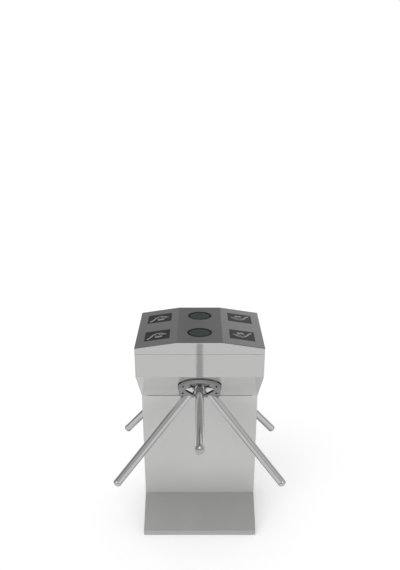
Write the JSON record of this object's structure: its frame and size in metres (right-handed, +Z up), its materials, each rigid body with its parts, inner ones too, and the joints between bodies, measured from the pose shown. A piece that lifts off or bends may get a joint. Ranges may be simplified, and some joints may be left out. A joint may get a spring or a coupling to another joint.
{
  "type": "double tripod turnstile",
  "caption": "Waist-high access turnstile: steel cabinet with a sloped foot, a wide head with a hinged reader lid, and a tilted tripod rotor with a drop arm on its front and rear.",
  "frame": {"origin": "on the floor, under the middle of the base plate", "axes": "+Z up, front face and its tripod look along -Y, rear face along +Y, +X to the right seen from the front"},
  "size_m": [0.7992, 1.508, 1.0156],
  "materials": {
    "body_steel": "satin ground sheet, soft mirror images",
    "column_steel": "fine matt ground sheet",
    "foot_steel": "coarser matt ground sheet, a shade darker",
    "frame_steel": "zinc-plated, dull",
    "machined_steel": "turned and ground",
    "bolt_steel": "blackened bolt steel",
    "arm_steel": "polished tube",
    "hub_metal": "machined, satin",
    "cast_aluminium": "cast, bead-blasted",
    "lock_metal": "plated",
    "lid_panel": "dark grey, fine satin grain",
    "reader_window": "near-black, smooth",
    "indicator_ring": "black, moulded",
    "indicator_lens": "dark grey-green, smooth",
    "circuit_board": "green laminate",
    "black_housing": "black, moulded"
  },
  "bodies": {
    "cabinet": {"base_plate": "frame_steel", "front_foot_cover": "foot_steel", "rear_foot_cover": "foot_steel", "front_column_panel": "column_steel", "rear_column_panel": "column_steel", "column_sides": "column_steel", "uprights": "frame_steel", "gussets": "frame_steel", "front_head_fascia": "body_steel", "rear_head_fascia": "body_steel", "left_head_cheek": "body_steel", "right_head_cheek": "body_steel", "mechanism_bolts": "bolt_steel", "power_supply": "black_housing", "control_board": "circuit_board", "board_standoffs": "bolt_steel", "lock_housing": "lock_metal", "cabinet_hinge_leaf": "frame_steel", "hinge_pin": "machined_steel", "bearings": "machined_steel", "pawl_pivots": "machined_steel", "pawl_springs": "machined_steel", "dampers": "cast_aluminium", "solenoids": "black_housing", "front_mechanism_plate": "frame_steel", "rear_mechanism_plate": "frame_steel", "front_bearing_housing": "cast_aluminium", "rear_bearing_housing": "cast_aluminium"},
    "lid": {"lid_shell": "body_steel", "lid_top_panel": "lid_panel", "reader_windows": "reader_window", "indicator_rings": "indicator_ring", "indicator_lenses": "indicator_lens", "indicator_boards": "circuit_board", "reader_boards": "circuit_board", "lid_hinge_leaf": "frame_steel", "lid_catch": "frame_steel"},
    "lock": {"lock_plug": "lock_metal"},
    "front_rotor": {"front_main_shaft": "machined_steel", "front_locking_disc": "machined_steel", "front_hub_base": "hub_metal", "front_hub": "hub_metal", "front_hub_bolts": "bolt_steel", "front_left_arm": "arm_steel", "front_right_arm": "arm_steel", "front_drop_arm_pin": "machined_steel"},
    "front_drop_arm": {"front_drop_arm": "arm_steel"},
    "front_pawl": {"front_pawl": "machined_steel"},
    "front_plunger": {"front_plunger": "machined_steel"},
    "rear_rotor": {"rear_main_shaft": "machined_steel", "rear_locking_disc": "machined_steel", "rear_hub_base": "hub_metal", "rear_hub": "hub_metal", "rear_hub_bolts": "bolt_steel", "rear_left_arm": "arm_steel", "rear_right_arm": "arm_steel", "rear_drop_arm_pin": "machined_steel"},
    "rear_drop_arm": {"rear_drop_arm": "arm_steel"},
    "rear_pawl": {"rear_pawl": "machined_steel"},
    "rear_plunger": {"rear_plunger": "machined_steel"}
  },
  "joints": [
    {"name": "lid_hinge", "type": "hinge", "parent": "cabinet", "child": "lid", "pos_m": [0, 0.23, 0.9595], "axis": [-1, 0, 0], "range_deg": [0, 95]},
    {"name": "lock_turn", "type": "hinge", "parent": "cabinet", "child": "lock", "pos_m": [0.268, -0.15, 0.933], "axis": [1, 0, 0], "range_deg": [0, 90]},
    {"name": "front_rotor_spin", "type": "hinge", "parent": "cabinet", "child": "front_rotor", "pos_m": [0, -0.14481, 0.76962], "axis": [0, -0.6952, -0.7189], "continuous": true},
    {"name": "front_arm_drop", "type": "hinge", "parent": "front_rotor", "child": "front_drop_arm", "pos_m": [0, -0.21005, 0.78903], "axis": [1, 0, 0], "range_deg": [0, 90]},
    {"name": "front_pawl_swing", "type": "hinge", "parent": "cabinet", "child": "front_pawl", "pos_m": [0.06, -0.13243, 0.8745], "axis": [0, -0.6952, -0.7189], "range_deg": [0, 9], "stiffness_Nm_per_rad": 0.2, "springref_deg": -11.46},
    {"name": "front_plunger_slide", "type": "slide", "parent": "cabinet", "child": "front_plunger", "axis": [0, -0.7189, 0.6952], "range_m": [0, 0.0042]},
    {"name": "rear_rotor_spin", "type": "hinge", "parent": "cabinet", "child": "rear_rotor", "pos_m": [0, 0.14481, 0.76962], "axis": [0, 0.6952, -0.7189], "continuous": true},
    {"name": "rear_arm_drop", "type": "hinge", "parent": "rear_rotor", "child": "rear_drop_arm", "pos_m": [0, 0.21005, 0.78903], "axis": [-1, 0, 0], "range_deg": [0, 90]},
    {"name": "rear_pawl_swing", "type": "hinge", "parent": "cabinet", "child": "rear_pawl", "pos_m": [-0.06, 0.13243, 0.8745], "axis": [0, 0.6952, -0.7189], "range_deg": [0, 9], "stiffness_Nm_per_rad": 0.2, "springref_deg": -11.46},
    {"name": "rear_plunger_slide", "type": "slide", "parent": "cabinet", "child": "rear_plunger", "axis": [0, 0.7189, 0.6952], "range_m": [0, 0.0042]}
  ],
  "couplings": [
    {"joint": "front_plunger_slide", "follows": "front_pawl_swing", "m_per_rad": 0.026},
    {"joint": "rear_plunger_slide", "follows": "rear_pawl_swing", "m_per_rad": 0.026}
  ]
}
